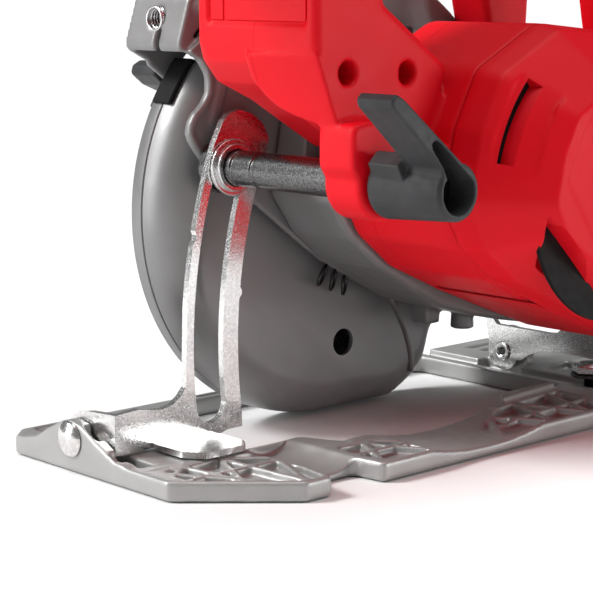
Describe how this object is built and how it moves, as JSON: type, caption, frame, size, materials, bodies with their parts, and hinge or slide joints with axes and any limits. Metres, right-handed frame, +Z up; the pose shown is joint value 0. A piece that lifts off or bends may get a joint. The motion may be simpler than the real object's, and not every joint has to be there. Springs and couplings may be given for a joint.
{
  "type": "circular saw",
  "caption": "Cordless rear-handle circular saw on an adjustable shoe, with blade guards, spur-geared drive, depth and bevel locks, two handles and a slide-on battery pack.",
  "frame": {"origin": "a point on the shoe's sole, 20 mm ahead of its rear edge and under the bevel axis", "axes": "+X forward (cutting direction), +Y to the saw's left (the blade's side), +Z up from the sole"},
  "size_m": [0.4354, 0.191, 0.3749],
  "materials": {
    "cast_magnesium": "cast, satin grey",
    "zinc_plate": "bright zinc plate on sheet steel",
    "dark_steel": "black oxide",
    "bright_steel": "machined and ground",
    "red_nylon": "moulded, fine texture",
    "dark_nylon": "moulded, satin",
    "black_rubber": "soft overmould",
    "copper_winding": "enamelled wire",
    "clear_lens": "clear",
    "board_green": "solder mask"
  },
  "bodies": {
    "base": {"shoe": "cast_magnesium", "rear_bevel_pin": "zinc_plate", "front_bevel_pin": "zinc_plate", "bevel_quadrant": "zinc_plate"},
    "fence_screw": {"fence_screw": "dark_steel"},
    "bevel_frame": {"rear_depth_bracket": "zinc_plate", "front_bevel_bracket": "zinc_plate", "depth_pivot_pin": "bright_steel", "bevel_bolt": "bright_steel"},
    "bevel_lever": {"bevel_lever": "dark_nylon"},
    "saw_body": {"gear_case": "cast_magnesium", "upper_guard": "cast_magnesium", "guard_spring": "bright_steel", "guard_bumper": "black_rubber", "stator": "copper_winding", "front_motor_bearing": "bright_steel", "rear_motor_bearing": "bright_steel", "spindle_bearing": "bright_steel", "housing_left": "red_nylon", "housing_right": "red_nylon", "control_cover": "red_nylon", "handle_screw_1": "dark_steel", "handle_screw_2": "dark_steel", "handle_screw_3": "dark_steel", "handle_screw_4": "dark_steel", "motor_cap": "red_nylon", "front_handle": "red_nylon", "front_grip": "black_rubber", "rear_grip": "black_rubber", "trigger_switch": "dark_nylon", "control_board": "board_green", "hook_pin": "dark_steel", "led_lens": "clear_lens", "depth_rod": "dark_steel", "rod_washer": "zinc_plate", "terminal_block": "dark_nylon"},
    "rotor": {"pinion": "bright_steel", "motor_shaft": "bright_steel", "rotor_core": "dark_steel", "cooling_fan": "dark_nylon"},
    "spindle": {"output_gear": "bright_steel", "arbor": "bright_steel", "inner_flange": "dark_steel", "blade": "bright_steel", "outer_flange": "dark_steel", "blade_bolt": "dark_steel"},
    "lower_guard": {"lower_guard": "cast_magnesium", "lift_lever": "dark_nylon"},
    "depth_lever": {"depth_lever": "dark_nylon"},
    "trigger": {"trigger": "dark_nylon"},
    "lock_off": {"lock_off_button": "dark_nylon"},
    "spindle_lock": {"spindle_lock_button": "dark_nylon"},
    "battery": {"battery_case": "dark_nylon"},
    "battery_latch_left": {"battery_latch_left": "dark_nylon"},
    "battery_latch_right": {"battery_latch_right": "dark_nylon"},
    "rafter_hook": {"rafter_hook": "dark_steel"}
  },
  "joints": [
    {"name": "bevel_tilt", "type": "hinge", "parent": "base", "child": "bevel_frame", "pos_m": [0.1, 0, 0.0133], "axis": [-1, 0, 0], "range_deg": [0, 53]},
    {"name": "depth_swing", "type": "hinge", "parent": "bevel_frame", "child": "saw_body", "pos_m": [0.248, 0, 0.045], "axis": [0, -1, 0], "range_deg": [0, 25.6]},
    {"name": "fence_screw_turn", "type": "hinge", "parent": "base", "child": "fence_screw", "pos_m": [0.23, -0.06, 0.01], "axis": [0, 0, 1], "continuous": true},
    {"name": "bevel_lever_turn", "type": "hinge", "parent": "bevel_frame", "child": "bevel_lever", "pos_m": [0.273, -0.048, 0.0273], "axis": [1, 0, 0], "range_deg": [0, 35]},
    {"name": "guard_retract", "type": "hinge", "parent": "saw_body", "child": "lower_guard", "pos_m": [0.1228, 0, 0.0954], "axis": [0, 1, 0], "range_deg": [0, 105], "stiffness_Nm_per_rad": 0.3, "springref_deg": -57.3},
    {"name": "blade_spin", "type": "hinge", "parent": "saw_body", "child": "spindle", "pos_m": [0.1228, 0, 0.0954], "axis": [0, 1, 0], "continuous": true},
    {"name": "motor_spin", "type": "hinge", "parent": "saw_body", "child": "rotor", "pos_m": [0.1511, -0.08, 0.1086], "axis": [0, 1, 0], "continuous": true},
    {"name": "depth_lever_turn", "type": "hinge", "parent": "saw_body", "child": "depth_lever", "pos_m": [0.0465, -0.126, 0.1175], "axis": [0, 1, 0], "range_deg": [0, 50]},
    {"name": "trigger_pull", "type": "slide", "parent": "saw_body", "child": "trigger", "axis": [0.4493, 0, 0.8934], "range_m": [0, 0.006], "stiffness_N_per_m": 1500, "springref_m": -0.003},
    {"name": "lock_off_press", "type": "slide", "parent": "saw_body", "child": "lock_off", "axis": [0, -1, 0], "range_m": [0, 0.003], "stiffness_N_per_m": 1500, "springref_m": -0.002},
    {"name": "spindle_lock_press", "type": "slide", "parent": "saw_body", "child": "spindle_lock", "axis": [0, 0, -1], "range_m": [0, 0.004], "stiffness_N_per_m": 1500, "springref_m": -0.002},
    {"name": "battery_slide", "type": "slide", "parent": "saw_body", "child": "battery", "axis": [0.4493, 0, 0.8934], "range_m": [0, 0.085]},
    {"name": "battery_latch_left_press", "type": "slide", "parent": "battery", "child": "battery_latch_left", "axis": [0, -1, 0], "range_m": [0, 0.0025], "stiffness_N_per_m": 1500, "springref_m": -0.002},
    {"name": "battery_latch_right_press", "type": "slide", "parent": "battery", "child": "battery_latch_right", "axis": [0, 1, 0], "range_m": [0, 0.0025], "stiffness_N_per_m": 1500, "springref_m": -0.002},
    {"name": "rafter_hook_turn", "type": "hinge", "parent": "saw_body", "child": "rafter_hook", "pos_m": [-0.0084, -0.03, 0.23073], "axis": [0, -1, 0], "range_deg": [0, 90]}
  ],
  "couplings": [
    {"joint": "motor_spin", "follows": "blade_spin", "ratio": -4}
  ]
}
